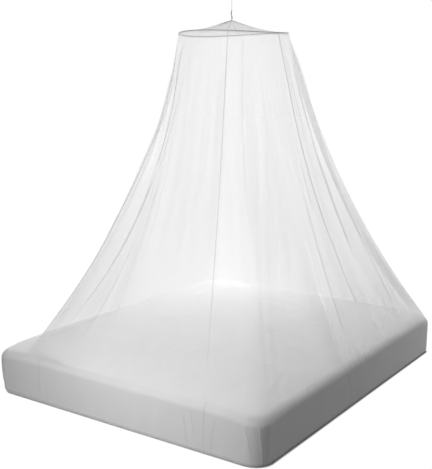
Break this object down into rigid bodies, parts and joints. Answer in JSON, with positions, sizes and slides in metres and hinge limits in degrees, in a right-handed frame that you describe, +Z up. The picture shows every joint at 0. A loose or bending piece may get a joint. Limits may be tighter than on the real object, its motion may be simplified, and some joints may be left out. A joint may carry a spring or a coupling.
{
  "type": "mosquito net canopy draped over a double mattress",
  "caption": "White bell-shaped mosquito net on a wire hoop and hanging cord, with a shallow net cone on top and a long skirt spread over a plain double mattress and tucked round its sides.",
  "frame": {"origin": "on the floor, under the middle of the mattress and of the net drawn round it", "axes": "+Z up, +X across the bed, +Y along the bed towards the head, where the hoop hangs nearer"},
  "size_m": [1.614, 2.014, 2.0472],
  "materials": {
    "white_net": "fine sheer knitted polyester net, matt",
    "white_cotton": "plain woven cotton sheet, matt",
    "white_tape": "narrow woven tape, matt",
    "white_cord": "thin twisted cord, matt",
    "white_plastic": "satin moulded plastic"
  },
  "bodies": {
    "root": {"mattress": "white_cotton", "skirt_net": "white_net", "cone_net": "white_net", "hoop": "white_tape", "hanging_loop": "white_tape", "hanging_cord": "white_cord", "ceiling_fitting": "white_plastic"}
  },
  "joints": []
}
